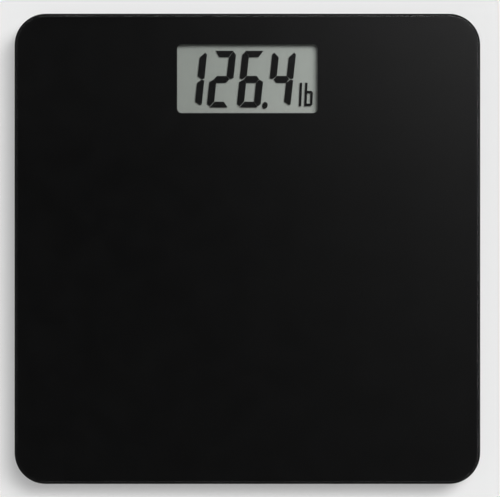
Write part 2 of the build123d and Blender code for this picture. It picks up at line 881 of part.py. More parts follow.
def make_foot_cap(plane):
    """Cup that slides in the housing, held by three lugs, with a post that presses the tongue."""
    with BuildPart() as cap:
        with BuildSketch(plane.offset(cap_bottom)):
            Circle(cap_radius)
        extrude(amount=cap_top - cap_bottom)
        fillet(cap.edges().group_by(Axis.Z)[0], cap_round)
        with BuildSketch(plane.offset(cap_bottom + cap_floor)):
            Circle(cap_radius - cap_rim)
        extrude(amount=cap_top - cap_bottom - cap_floor, mode=Mode.SUBTRACT)
        with BuildSketch(plane.offset(cap_bottom + cap_floor)):
            Circle(cap_post_radius)
        extrude(amount=cell_bottom - touch_gap - cap_bottom - cap_floor)
        with BuildSketch(plane.offset(cap_bottom + cap_floor)):
            Rectangle(2 * cap_radius - cap_rim, cap_rib_width)
            Rectangle(cap_rib_width, 2 * cap_radius - cap_rim)
        extrude(amount=cap_rib_top - cap_bottom - cap_floor)
        with BuildSketch(plane.offset(foot_lip_top + touch_gap)):
            with PolarLocations(
                cap_radius + cap_lug_reach / 2 - cap_rim / 4,
                cap_lug_count,
                start_angle=cap_lug_start,
            ):
                Rectangle(cap_lug_reach + cap_rim / 2, cap_lug_width)
        extrude(amount=cap_lug_height)
        with BuildSketch(plane.offset(cap_bottom)):
            Circle(pad_radius + pad_gap)
        extrude(amount=pad_recess, mode=Mode.SUBTRACT)
    return cap


def make_rubber_pad(plane):
    """Anti-slip pad with ring grooves on the side that stands on the floor."""
    with BuildPart() as pad:
        with BuildSketch(plane):
            Circle(pad_radius)
        extrude(amount=cap_bottom + pad_recess)
        chamfer(pad.edges().group_by(Axis.Z)[0], pad_chamfer)
        with BuildSketch(plane):
            for groove_radius in pad_groove_radii:
                Circle(groove_radius + pad_groove_width / 2)
                Circle(groove_radius - pad_groove_width / 2, mode=Mode.SUBTRACT)
        extrude(amount=pad_groove_depth, mode=Mode.SUBTRACT)
    return pad


foot_points = []
cell_screw_points = []

for name, (side_x, side_y, exit_direction) in foot_directions.items():
    plane = foot_plane(side_x, side_y, exit_direction)
    save(make_foot_housing(plane), f"foot_housing_{name}")
    save(make_load_cell(plane), f"load_cell_{name}")
    save(make_gauge_potting(plane), f"gauge_potting_{name}")
    save(make_foot_cap(plane), f"foot_cap_{name}")
    save(make_rubber_pad(plane), f"rubber_pad_{name}")
    foot_points.append((side_x * foot_x, side_y * foot_y))
    for end in (-1, 1):
        screw = plane.from_local_coords(Vector(0, end * cell_screw_offset, 0))
        cell_screw_points.append((screw.X, screw.Y))

with BuildPart() as foot_tapes:
    with BuildSketch(Plane.XY.offset(module_top)):
        with Locations(foot_points):
            Circle(foot_tape_radius)
    extrude(amount=tape_thickness)
save(foot_tapes, "foot_tapes")

save(
    make_screws(
        cell_screw_points,
        cell_bottom - cell_head_height,
        cell_head_height,
        cell_head_radius,
        cell_shank_radius,
        cell_shank_top,
    ),
    "cell_screws",
)

# ---------------------------------------------------------------- sensor wires and their guides

wire_start_z = cell_top + wire_radius + wire_lift
wire_end_z = board_top + wire_radius + touch_gap
foot_edge = foot_flange_radius + guide_end_gap

for side_name, side in (("left", -1), ("right", 1)):
    # front foot: up the side, across, and into the front wall of the module
    routes = []
    radii = []
    for lane in wire_lanes:
        outer_x = side * (foot_x + lane)
        inner_x = side * (front_wire_x + lane)
        turn_y = guide_turn_y + lane
        routes.append(
            [
                (outer_x, -foot_y + potting_end, wire_start_z),
                (outer_x, -foot_y + wire_climb_start, wire_start_z),
                (outer_x, -foot_y + wire_climb_end, wire_level),
                (outer_x, turn_y, wire_level),
                (inner_x, turn_y, wire_level),
                (inner_x, front_drop_start, wire_level),
                (inner_x, front_drop_end, wire_end_z),
                (inner_x, front_wire_end, wire_end_z),
            ]
        )
        radii.append(
            [
                wire_climb_bend,
                wire_climb_bend,
                guide_turn_radius + lane,
                guide_turn_radius - lane,
                front_drop_bend,
                front_drop_bend,
            ]
        )
    save(make_tubes(routes, radii, wire_radius), f"sensor_wires_front_{side_name}")

    # rear foot: straight across into the side wall of the module
    routes = []
    radii = []
    for lane in wire_lanes:
        routes.append(
            [
                (side * (foot_x - potting_end), foot_y + lane, wire_start_z),
                (side * (foot_x - wire_climb_start), foot_y + lane, wire_start_z),
                (side * (foot_x - wire_climb_end), foot_y + lane, wire_level),
                (side * rear_drop_start, foot_y + lane, wire_level),
                (side * rear_drop_end, foot_y + lane, wire_end_z),
                (side * rear_wire_end, foot_y + lane, wire_end_z),
            ]
        )
        radii.append([wire_climb_bend, wire_climb_bend, *rear_drop_bends])
    save(make_tubes(routes, radii, wire_radius), f"sensor_wires_rear_{side_name}")

    guide_routes = {
        "front": [
            (side * foot_x, -foot_y + foot_edge),
            (side * foot_x, guide_turn_y),
            (side * front_wire_x, guide_turn_y),
            (side * front_wire_x, module_front - guide_end_gap),
        ],
        "rear": [
            (side * (foot_x - foot_edge), foot_y),
            (side * (module_width / 2 + guide_end_gap), foot_y),
        ],
    }
    guide_bridges = {
        "front": [
            (side * foot_x, guide_bridge_near_y, guide_width, guide_bridge_length),
            (side * foot_x, guide_bridge_far_y, guide_width, guide_bridge_length),
            (side * (foot_x + front_wire_x) / 2, guide_turn_y, guide_bridge_length, guide_width),
        ],
        "rear": [
            (side * (foot_x - foot_edge + module_width / 2) / 2, foot_y, guide_bridge_length, guide_width),
        ],
    }
    for row in ("front", "rear"):
        with BuildPart() as wire_guide:
            with BuildLine(Plane.XY.offset(roof_bottom)) as guide_path:
                if row == "front":
                    FilletPolyline(*guide_routes[row], radius=guide_turn_radius)
                else:
                    Polyline(*guide_routes[row])
            with BuildSketch(Plane.XY.offset(roof_bottom)):
                trace(guide_path.line, guide_width)
            extrude(amount=backing_bottom - roof_bottom)
            with BuildSketch(Plane.XY.offset(guide_bottom)):
                trace(guide_path.line, guide_width)
                trace(guide_path.line, guide_inner_width, mode=Mode.SUBTRACT)
            extrude(amount=roof_bottom - guide_bottom)
            with BuildSketch(Plane.XY.offset(guide_bottom)):
                for bridge_x, bridge_y, bridge_dx, bridge_dy in guide_bridges[row]:
                    with Locations((bridge_x, bridge_y)):
                        Rectangle(bridge_dx, bridge_dy)
            extrude(amount=guide_bridge_thickness)
        save(wire_guide, f"wire_guide_{row}_{side_name}")
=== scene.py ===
import logging
import math
from dataclasses import dataclass
from enum import Enum

import bmesh
import bpy
from mathutils import Matrix, Vector


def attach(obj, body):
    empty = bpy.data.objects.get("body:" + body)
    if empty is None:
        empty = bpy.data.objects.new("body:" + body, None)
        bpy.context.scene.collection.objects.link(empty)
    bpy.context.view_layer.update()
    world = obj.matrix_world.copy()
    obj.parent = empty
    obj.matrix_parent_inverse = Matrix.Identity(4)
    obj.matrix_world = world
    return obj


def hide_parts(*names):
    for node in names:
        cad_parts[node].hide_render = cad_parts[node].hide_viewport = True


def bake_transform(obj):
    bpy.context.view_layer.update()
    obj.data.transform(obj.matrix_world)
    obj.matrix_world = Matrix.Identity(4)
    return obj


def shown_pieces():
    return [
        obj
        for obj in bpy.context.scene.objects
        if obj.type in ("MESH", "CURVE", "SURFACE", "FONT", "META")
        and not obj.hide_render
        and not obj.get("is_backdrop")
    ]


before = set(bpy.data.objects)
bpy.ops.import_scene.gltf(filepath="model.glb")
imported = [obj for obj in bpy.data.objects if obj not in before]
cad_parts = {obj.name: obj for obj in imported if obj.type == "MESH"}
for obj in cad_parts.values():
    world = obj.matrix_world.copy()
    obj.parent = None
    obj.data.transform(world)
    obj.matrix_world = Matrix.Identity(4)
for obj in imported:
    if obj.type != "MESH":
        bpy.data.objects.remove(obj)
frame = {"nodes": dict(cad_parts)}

MM = 0.001
"""Metres in a millimetre: sizes below are written in millimetres."""

WINDOW_CENTRE: tuple[float, float] = (0.0, 109.75)
"""Middle of the display window, in millimetres."""

NOISE_RANGE = (0.3, 0.7)
"""Values between which most of a noise pattern lies."""

WORN_GRAINS = (0.35, 0.6)
"""Values of the grain between which an edge goes from rubbed little to rubbed fully."""

LEAST_RUBBED = 0.4
"""Share of the wear that even the least rubbed grain of an edge gets."""

RUBBED_SHARE = 0.5
RUBBED_LIFT = 0.12
"""A rubbed edge keeps this share of its colour, and is lightened by the lift."""

EDGE_TURN = (0.8, 0.99)
"""Agreement of the softened normal with the true one, from a full edge to a plain face."""

LOG = logging.getLogger("bathroom_scale")

Point = tuple[float, float]
Colour = tuple[float, float, float]


class Slot(Enum):
    """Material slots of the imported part."""

    PLATFORM_GLASS = "platform_glass"
    BLACK_COAT = "black_coat"
    FOAM_TAPE = "foam_tape"
    BLACK_PLASTIC = "black_plastic"
    WHITE_PLASTIC = "white_plastic"
    GREY_PLASTIC = "grey_plastic"
    DISPLAY_GREY = "display_grey"
    DISPLAY_GLASS = "display_glass"
    REFLECTOR_FOIL = "reflector_foil"
    CONNECTOR_RUBBER = "connector_rubber"
    CIRCUIT_BOARD = "circuit_board"
    BLACK_EPOXY = "black_epoxy"
    NICKEL_PLATE = "nickel_plate"
    CAPACITOR_CASE = "capacitor_case"
    BATTERY_WRAP = "battery_wrap"
    WIRE_INSULATION = "wire_insulation"
    SCREW_STEEL = "screw_steel"
    CELL_STEEL = "cell_steel"
    WHITE_SILICONE = "white_silicone"
    FOOT_RUBBER = "foot_rubber"


class Body(Enum):
    """Moving and fixed bodies that the visual pieces ride on."""

    ROOT = "root"
    FRONT_LEFT_FOOT = "foot_front_left"
    FRONT_RIGHT_FOOT = "foot_front_right"
    REAR_LEFT_FOOT = "foot_rear_left"
    REAR_RIGHT_FOOT = "foot_rear_right"


# ---------------------------------------------------------------- shader building


@dataclass
class Graph:
    """A short way to add and join the nodes of one shader."""

    tree: bpy.types.NodeTree

    def node(self, kind: str, **settings: object) -> bpy.types.Node:
        """Add one node.

        Args:
            kind: the node's type name.
            settings: attributes set on the new node.

        Returns:
            The new node.
        """
        made = self.tree.nodes.new(kind)
        for name, value in settings.items():
            setattr(made, name, value)
        return made

    def feed(self, socket: bpy.types.NodeSocket, value: object) -> None:
        """Join a value or another node's output to an input.

        Args:
            socket: the input.
            value: a number, a colour or an output socket.
        """
        if isinstance(value, bpy.types.NodeSocket):
            self.tree.links.new(value, socket)
        else:
            socket.default_value = value

    def math(self, operation: str, *inputs: object) -> bpy.types.NodeSocket:
        """Add a math node.

        Args:
            operation: the operation's name.
            inputs: numbers or output sockets.

        Returns:
            The result's output socket.
        """
        made = self.node("ShaderNodeMath", operation=operation)
        for socket, value in zip(made.inputs, inputs):
            self.feed(socket, value)
        return made.outputs[0]

    def span(self, value: object, low: float, high: float, start: float, end: float) -> bpy.types.NodeSocket:
        """Carry a range of values smoothly onto another range.

        Args:
            value: the value to carry over.
            low: value that becomes start.
            high: value that becomes end.
            start: result at or below low.
            end: result at or above high.

        Returns:
            The result's output socket.
        """
        made = self.node("ShaderNodeMapRange", interpolation_type="SMOOTHSTEP")
        for socket, number in zip(made.inputs, (value, low, high, start, end)):
            self.feed(socket, number)
        return made.outputs[0]

    def spread(self, pattern: bpy.types.NodeSocket, start: float, end: float) -> bpy.types.NodeSocket:
        """Carry a noise pattern onto the range from start to end."""
        return self.span(pattern, *NOISE_RANGE, start, end)

    def noise(self, where: bpy.types.NodeSocket, size_mm: float, detail: float = 3.0) -> bpy.types.NodeSocket:
        """Add a noise pattern in the object's own coordinates.

        Args:
            where: coordinates to sample at.
            size_mm: rough size of one blotch or grain.
            detail: how much finer detail it carries.

        Returns:
            The pattern's output socket, about 0 to 1.
        """
        made = self.node("ShaderNodeTexNoise")
        self.feed(made.inputs["Vector"], where)
        self.feed(made.inputs["Scale"], 1.0 / (size_mm * MM))
        self.feed(made.inputs["Detail"], detail)
        return made.outputs["Fac"]

    def blend(self, share: object, first: object, second: object) -> bpy.types.NodeSocket:
        """Mix two colours.

        Args:
            share: share of the second colour.
            first: the first colour.
            second: the second colour.

        Returns:
            The mixed colour's output socket.
        """
        made = self.node("ShaderNodeMix", data_type="RGBA")
        self.feed(made.inputs[0], share)
        self.feed(made.inputs[6], first)
        self.feed(made.inputs[7], second)
        return made.outputs[2]


def opaque(colour: Colour, share: float = 1.0) -> tuple[float, float, float, float]:
    """Give a colour scaled by share, with full alpha."""
    return (colour[0] * share, colour[1] * share, colour[2] * share, 1.0)


@dataclass(frozen=True)
class Finish:
    """A surface finish made of noise-driven colour, roughness and grain.

    Sizes are in millimetres, and wear is how much lighter the edges have rubbed.
    """

    name: str
    colour: Colour
    variation: float = 0.12
    blotch: float = 18.0
    grain: float = 0.5
    roughness: float = 0.5
    roughness_spread: float = 0.12
    bump: float = 0.06
    metallic: float = 0.0
    wear: float = 0.25
    wear_width: float = 0.35
    specular: float = 0.5

    def make(self) -> bpy.types.Material:
        """Build the material, or give it back if it is already there.

        Returns:
            The material.
        """
        found = bpy.data.materials.get(self.name)
        if found is not None:
            return found
        material = bpy.data.materials.new(self.name)
        material.use_nodes = True
        graph = Graph(material.node_tree)
        shader = material.node_tree.nodes["Principled BSDF"]
        where = graph.node("ShaderNodeTexCoord").outputs["Object"]
        self.paint(graph, shader, where)
        self.close(graph, shader)
        return material

    def paint(self, graph: Graph, shader: bpy.types.Node, where: bpy.types.NodeSocket) -> None:
        """Drive colour, roughness and grain from noise.

        Args:
            graph: the material's nodes.
            shader: its surface shader.
            where: the object's own coordinates.
        """
        blotches = graph.noise(where, self.blotch)
        grains = graph.noise(where, self.grain, 2.0)
        colour = graph.blend(
            graph.spread(blotches, 0.0, 1.0),
            opaque(self.colour, 1.0 - self.variation),
            opaque(self.colour, 1.0 + self.variation),
        )
        roughness = graph.spread(grains, self.roughness, self.roughness + self.roughness_spread)
        if self.wear > 0.0:
            patches = graph.span(grains, *WORN_GRAINS, LEAST_RUBBED, 1.0)
            rubbed = graph.math("MULTIPLY", self.edges(graph), patches)
            colour = graph.blend(
                graph.math("MULTIPLY", rubbed, self.wear),
                colour,
                opaque(tuple(RUBBED_SHARE * part + RUBBED_LIFT for part in self.colour)),
            )
        bump = graph.node("ShaderNodeBump")
        graph.feed(bump.inputs["Strength"], self.bump)
        graph.feed(bump.inputs["Distance"], self.grain * MM)
        graph.feed(bump.inputs["Height"], grains)
        graph.feed(shader.inputs["Base Color"], colour)
        graph.feed(shader.inputs["Roughness"], roughness)
        graph.feed(shader.inputs["Normal"], bump.outputs[0])
        graph.feed(shader.inputs["Metallic"], self.metallic)
        graph.feed(shader.inputs["Specular IOR Level"], self.specular)

    def edges(self, graph: Graph) -> bpy.types.NodeSocket:
        """Find the edges of the piece, where a softened normal leaves the true one.

        Args:
            graph: the material's nodes.

        Returns:
            1 on an edge, 0 on a face.
        """
        soft = graph.node("ShaderNodeBevel", samples=4)
        graph.feed(soft.inputs["Radius"], self.wear_width * MM)
        true = graph.node("ShaderNodeNewGeometry")
        product = graph.node("ShaderNodeVectorMath", operation="DOT_PRODUCT")
        graph.feed(product.inputs[0], soft.outputs[0])
        graph.feed(product.inputs[1], true.outputs["Normal"])
        return graph.span(product.outputs["Value"], *EDGE_TURN, 1.0, 0.0)

    def close(self, graph: Graph, shader: bpy.types.Node) -> None:
        """Leave the surface shader joined to the output."""


@dataclass(frozen=True)
class GlassFinish(Finish):
    """Clear glass with faint smears, which lets the lamps shine through it.

    Its tint is the share of lamp light that it lets through, and bending is its index of refraction.
    """

    variation: float = 0.01
    blotch: float = 60.0
    grain: float = 8.0
    roughness: float = 0.0
    roughness_spread: float = 0.02
    bump: float = 0.0004
    wear: float = 0.0
    tint: float = 0.93
    bending: float = 1.5

    def close(self, graph: Graph, shader: bpy.types.Node) -> None:
        """Make the shader clear, and let lamp light pass.

        Args:
            graph: the material's nodes.
            shader: its surface shader.
        """
        graph.feed(shader.inputs["Transmission Weight"], 1.0)
        graph.feed(shader.inputs["IOR"], self.bending)
        clear = graph.node("ShaderNodeBsdfTransparent")
        graph.feed(clear.inputs["Color"], (self.tint, self.tint, self.tint, 1.0))
        mix = graph.node("ShaderNodeMixShader")
        graph.feed(mix.inputs[0], graph.node("ShaderNodeLightPath").outputs["Is Shadow Ray"])
        graph.feed(mix.inputs[1], shader.outputs[0])
        graph.feed(mix.inputs[2], clear.outputs[0])
        output = graph.tree.nodes["Material Output"]
        graph.feed(output.inputs["Surface"], mix.outputs[0])


@dataclass(frozen=True)
class DisplayFinish(Finish):
    """Grey-green face of the display, with painted light: lighter towards +X, standing in for stronger lamp
    light on that side.
    """

    # Painted light: the face's colour at the +X side, painted lighter to stand in for stronger lamp light
    # there.
    painted_light_colour: Colour = (0.6, 0.6, 0.6)
    painted_light_half_width: float = 45.0
    mottle: float = 0.6

    def paint(self, graph: Graph, shader: bpy.types.Node, where: bpy.types.NodeSocket) -> None:
        """Drive the colour from a slow fade across the width, which is painted light, and the rest from
        noise.

        Args:
            graph: the material's nodes.
            shader: its surface shader.
            where: the object's own coordinates.
        """
        Finish.paint(self, graph, shader, where)
        split = graph.node("ShaderNodeSeparateXYZ")
        graph.feed(split.inputs[0], where)
        # Painted light: the face fades to the lighter colour towards +X, standing in for stronger lamp light
        # on that side.
        across = graph.span(split.outputs["X"], -self.painted_light_half_width * MM, self.painted_light_half_width * MM, 0.0, 1.0)
        mottle = graph.spread(graph.noise(where, self.mottle), 1.0 - self.variation, 1.0 + self.variation)
        colour = graph.node("ShaderNodeVectorMath", operation="SCALE")
        graph.feed(colour.inputs[0], graph.blend(across, opaque(self.colour), opaque(self.painted_light_colour)))
        graph.feed(colour.inputs["Scale"], mottle)
        graph.feed(shader.inputs["Base Color"], colour.outputs[0])


FINISHES: dict[Slot, Finish] = {
    Slot.PLATFORM_GLASS: GlassFinish("clear_platform_glass", (0.97, 0.99, 0.98)),
    Slot.DISPLAY_GLASS: GlassFinish("clear_display_glass", (0.99, 1.0, 0.99)),
    Slot.BLACK_COAT: Finish(
        "fired_black_coat", (0.0037, 0.0037, 0.0038), roughness=0.35, bump=0.02, wear=0.0, specular=0.0
    ),
    Slot.DISPLAY_GREY: Finish(
        "display_ink", (0.004, 0.004, 0.0043), roughness=0.6, bump=0.01, wear=0.0, specular=0.0
    ),
    Slot.REFLECTOR_FOIL: DisplayFinish(
        "display_face",
        (0.67, 0.70, 0.66),
        variation=0.012,
        roughness=0.75,
        bump=0.02,
        wear=0.0,
        # Painted light: the +X side of the display face is painted lighter.
        painted_light_colour=(0.755, 0.785, 0.745),
        specular=0.0,
    ),
    Slot.FOAM_TAPE: Finish(
        "white_foam_tape", (0.72, 0.72, 0.70), grain=0.25, roughness=0.8, bump=0.25, wear=0.1
    ),
    Slot.BLACK_PLASTIC: Finish(
        "textured_black_plastic", (0.032, 0.032, 0.034), grain=0.3, roughness=0.42, bump=0.16
    ),
    Slot.WHITE_PLASTIC: Finish("white_plastic", (0.78, 0.78, 0.76), variation=0.04, roughness=0.38),
    Slot.GREY_PLASTIC: Finish(
        "grey_button_plastic", (0.22, 0.23, 0.24), grain=0.3, roughness=0.4, bump=0.12
    ),
    Slot.CONNECTOR_RUBBER: Finish(
        "connector_rubber", (0.55, 0.42, 0.36), grain=0.15, roughness=0.7, bump=0.2
    ),
    Slot.CIRCUIT_BOARD: Finish(
        "green_circuit_board", (0.02, 0.16, 0.06), blotch=6.0, roughness=0.32, wear=0.4
    ),
    Slot.BLACK_EPOXY: Finish("black_epoxy", (0.012, 0.012, 0.013), grain=1.2, roughness=0.25, bump=0.1),
    Slot.NICKEL_PLATE: Finish(
        "nickel_plate", (0.66, 0.64, 0.60), metallic=1.0, grain=0.12, roughness=0.22, wear=0.15
    ),
    Slot.CAPACITOR_CASE: Finish("capacitor_case", (0.62, 0.42, 0.08), roughness=0.4),
    Slot.BATTERY_WRAP: Finish(
        "battery_wrap", (0.05, 0.09, 0.22), blotch=30.0, roughness=0.28, bump=0.03
    ),
    Slot.WIRE_INSULATION: Finish(
        "wire_insulation", (0.55, 0.05, 0.04), blotch=40.0, roughness=0.4, bump=0.05
    ),
    Slot.SCREW_STEEL: Finish(
        "zinc_screw_steel", (0.50, 0.51, 0.53), metallic=1.0, grain=0.1, roughness=0.3
    ),
    Slot.CELL_STEEL: Finish(
        "stamped_cell_steel", (0.46, 0.46, 0.47), metallic=1.0, grain=0.2, roughness=0.38, bump=0.1
    ),
    Slot.WHITE_SILICONE: Finish(
        "white_silicone", (0.75, 0.75, 0.73), grain=0.8, roughness=0.5, bump=0.15, wear=0.0
    ),
    Slot.FOOT_RUBBER: Finish(
        "foot_rubber", (0.085, 0.085, 0.087), grain=0.4, roughness=0.75, bump=0.25, wear=0.3
    ),
}


# ---------------------------------------------------------------- modelling steps


class Bench:
    """Modelling steps that the sub-assemblies share."""

    SHARP_ANGLE = math.radians(50.0)
    SMOOTH_ANGLE = math.radians(30.0)
    FLAT_SHARE = 0.99

    @staticmethod
    def clear() -> None:
        """Leave edit mode and deselect everything."""
        if bpy.context.object is not None and bpy.context.object.mode != "OBJECT":
            bpy.ops.object.mode_set(mode="OBJECT")
        bpy.ops.object.select_all(action="DESELECT")

    @staticmethod
    def begin(name: str) -> bpy.types.Object:
        """Name the primitive just added, put its place in its mesh and open it for editing.

        Args:
            name: the piece's name.

        Returns:
            The piece, in edit mode with everything selected.
        """
        piece = bpy.context.object
        piece.name = name
        piece.data.name = name
        bpy.ops.object.transform_apply(location=True, rotation=True, scale=True)
        bpy.ops.object.mode_set(mode="EDIT")
        bpy.ops.mesh.select_all(action="SELECT")
        return piece

    @staticmethod
    def thicken(height: float) -> None:
        """Raise the selected flat face into a solid and turn its faces outward, then leave edit mode.

        Args:
            height: how far to raise it, in metres.
        """
        bpy.ops.mesh.extrude_region_move(TRANSFORM_OT_translate={"value": (0.0, 0.0, height)})
        bpy.ops.mesh.select_all(action="SELECT")
        bpy.ops.mesh.normals_make_consistent(inside=False)
        bpy.ops.object.mode_set(mode="OBJECT")

    @staticmethod
    def place_corners(piece: bpy.types.Object, corners: list[Point], level: float) -> None:
        """Move the corners of the flat face being edited to their places.

        Args:
            piece: the piece in edit mode.
            corners: where its corners go, in millimetres.
            level: height of the face, in millimetres.
        """
        bpy.ops.mesh.select_mode(type="VERT")
        for index, corner in enumerate(corners):
            bpy.ops.mesh.select_all(action="DESELECT")
            mesh = bmesh.from_edit_mesh(piece.data)
            mesh.verts.ensure_lookup_table()
            mesh.verts[index].select = True
            step = Vector((corner[0], corner[1], level)) * MM - mesh.verts[index].co
            bmesh.update_edit_mesh(piece.data)
            bpy.ops.transform.translate(value=step)
        bpy.ops.mesh.select_all(action="SELECT")

    @classmethod
    def plate(
        cls, name: str, corners: list[Point], low: float, high: float, stroke: float = 0.0
    ) -> bpy.types.Object:
        """Make a flat plate with straight sides, or an open ring.

        Args:
            name: the piece's name.
            corners: its corners in order, in millimetres.
            low: height of its underside, in millimetres.
            high: height of its top, in millimetres.
            stroke: width of the ring left when the middle is taken out, or 0 for a full plate.

        Returns:
            The plate.
        """
        cls.clear()
        bpy.ops.mesh.primitive_circle_add(
            vertices=len(corners), radius=MM, fill_type="NGON", location=(0.0, 0.0, low * MM)
        )
        piece = cls.begin(name)
        cls.place_corners(piece, corners, low)
        if stroke > 0.0:
            bpy.ops.mesh.select_mode(type="FACE")
            bpy.ops.mesh.select_all(action="SELECT")
            bpy.ops.mesh.inset(thickness=stroke * MM, use_even_offset=True)
            bpy.ops.mesh.delete(type="FACE")
            bpy.ops.mesh.select_all(action="SELECT")
        cls.thicken((high - low) * MM)
        return piece

    @classmethod
    def rounded_plate(
        cls,
        name: str,
        centre: Point,
        size: Point,
        radius: float,
        levels: Point,
        steps: int = 10,
    ) -> bpy.types.Object:
        """Make a flat plate with rounded corners.

        Args:
            name: the piece's name.
            centre: its middle, in millimetres.
            size: its width and depth, in millimetres.
            radius: its corner radius, in millimetres.
            levels: height of its underside and of its top, in millimetres.
            steps: straight runs in each rounded corner.

        Returns:
            The plate.
        """
        cls.clear()
        middle = (centre[0] * MM, centre[1] * MM, levels[0] * MM)
        bpy.ops.mesh.primitive_plane_add(size=1.0, location=middle)
        piece = cls.begin(name)
        bpy.ops.transform.resize(value=(size[0] * MM, size[1] * MM, 1.0), center_override=middle)
        bpy.ops.mesh.bevel(offset=radius * MM, segments=steps, affect="VERTICES")
        bpy.ops.mesh.select_all(action="SELECT")
        cls.thicken((levels[1] - levels[0]) * MM)
        return piece

    @classmethod
    def pick_faces(cls, piece: bpy.types.Object, upward: float, low: float, high: float) -> None:
        """Select the flat faces of the piece being edited that look up or down between two heights.

        Args:
            piece: the piece in edit mode.
            upward: 1 for faces that look up, -1 for faces that look down.
            low: lowest height of a face's middle, in millimetres.
            high: highest height of a face's middle, in millimetres.
        """
        bpy.ops.mesh.select_mode(type="FACE")
        bpy.ops.mesh.select_all(action="DESELECT")
        mesh = bmesh.from_edit_mesh(piece.data)
        for face in mesh.faces:
            level = face.calc_center_median().z / MM
            face.select = face.normal.z * upward > cls.FLAT_SHARE and low < level < high
        mesh.select_flush_mode()
        bmesh.update_edit_mesh(piece.data)

    @classmethod
    def cut(cls, piece: bpy.types.Object, cutter: bpy.types.Object) -> None:
        """Take one piece out of another and throw the cutter away.

        Args:
            piece: the piece that stays.
            cutter: the piece taken out of it.
        """
        cls.clear()
        bpy.context.view_layer.objects.active = piece
        piece.select_set(True)
        taken = piece.modifiers.new("cut", "BOOLEAN")
        taken.operation = "DIFFERENCE"
        taken.solver = "EXACT"
        taken.object = cutter
        bpy.ops.object.modifier_apply(modifier=taken.name)
        cls.clear()
        cutter.select_set(True)
        bpy.ops.object.delete()

    @classmethod
    def join(cls, name: str, pieces: list[bpy.types.Object]) -> bpy.types.Object:
        """Join pieces into one.

        Args:
            name: the joined piece's name.
            pieces: the pieces to join.

        Returns:
            The joined piece.
        """
        cls.clear()
        for piece in pieces:
            piece.select_set(True)
        bpy.context.view_layer.objects.active = pieces[0]
        if len(pieces) > 1:
            bpy.ops.object.join()
        pieces[0].name = name
        pieces[0].data.name = name
        return pieces[0]

    @classmethod
    def soften(cls, piece: bpy.types.Object, width: float, steps: int = 2) -> None:
        """Round the sharp edges of a piece and smooth its shading.

        Args:
            piece: the piece.
            width: width of the rounding, in millimetres.
            steps: straight runs in the rounding.
        """
        cls.clear()
        bpy.context.view_layer.objects.active = piece
        piece.select_set(True)
        rounding = piece.modifiers.new("rounding", "BEVEL")
        rounding.width = width * MM
        rounding.segments = steps
        rounding.limit_method = "ANGLE"
        rounding.angle_limit = cls.SHARP_ANGLE
        bpy.ops.object.modifier_apply(modifier=rounding.name)
        bpy.ops.object.shade_smooth_by_angle(angle=cls.SMOOTH_ANGLE)

    @classmethod
    def band(cls, piece: bpy.types.Object, start: float, end: float, count: int) -> None:
        """Cut a piece into bands along X.

        Args:
            piece: the piece.
            start: where the bands start, in millimetres.
            end: where the bands end, in millimetres.
            count: how many bands.
        """
        cls.clear()
        bpy.context.view_layer.objects.active = piece
        piece.select_set(True)
        bpy.ops.object.mode_set(mode="EDIT")
        for number in range(count + 1):
            where = start + (end - start) * number / count
            bpy.ops.mesh.select_all(action="SELECT")
            bpy.ops.mesh.bisect(plane_co=(where * MM, 0.0, 0.0), plane_no=(1.0, 0.0, 0.0))
        bpy.ops.mesh.select_all(action="DESELECT")
        bpy.ops.object.mode_set(mode="OBJECT")

    @staticmethod
    def repeat(pattern: bpy.types.Object, name: str, place: Matrix) -> bpy.types.Object:
        """Copy a piece, with its own mesh, to another place.

        Args:
            pattern: the piece to copy.
            name: the copy's name.
            place: turn and move applied to the copy's mesh.

        Returns:
            The copy.
        """
        copy = pattern.copy()
        copy.data = pattern.data.copy()
        copy.name = name
        copy.data.name = name
        copy.data.transform(place)
        bpy.context.scene.collection.objects.link(copy)
        return copy

    @staticmethod
    def coat(piece: bpy.types.Object, slot: Slot) -> None:
        """Give a new piece its slot and the slot's finish.

        Args:
            piece: the piece.
            slot: its material slot.
        """
        piece.data.materials.clear()
        piece.data.materials.append(FINISHES[slot].make())
        LOG.info("%s: %d faces, %s", piece.name, len(piece.data.polygons), slot.value)

    @classmethod
    def finish(cls, piece: bpy.types.Object, slot: Slot) -> None:
        """Give a new piece its slot and finish, and let it ride on the fixed body.

        Args:
            piece: the piece.
            slot: its material slot.
        """
        cls.coat(piece, slot)
        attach(piece, Body.ROOT.value)


# ---------------------------------------------------------------- sub-assemblies


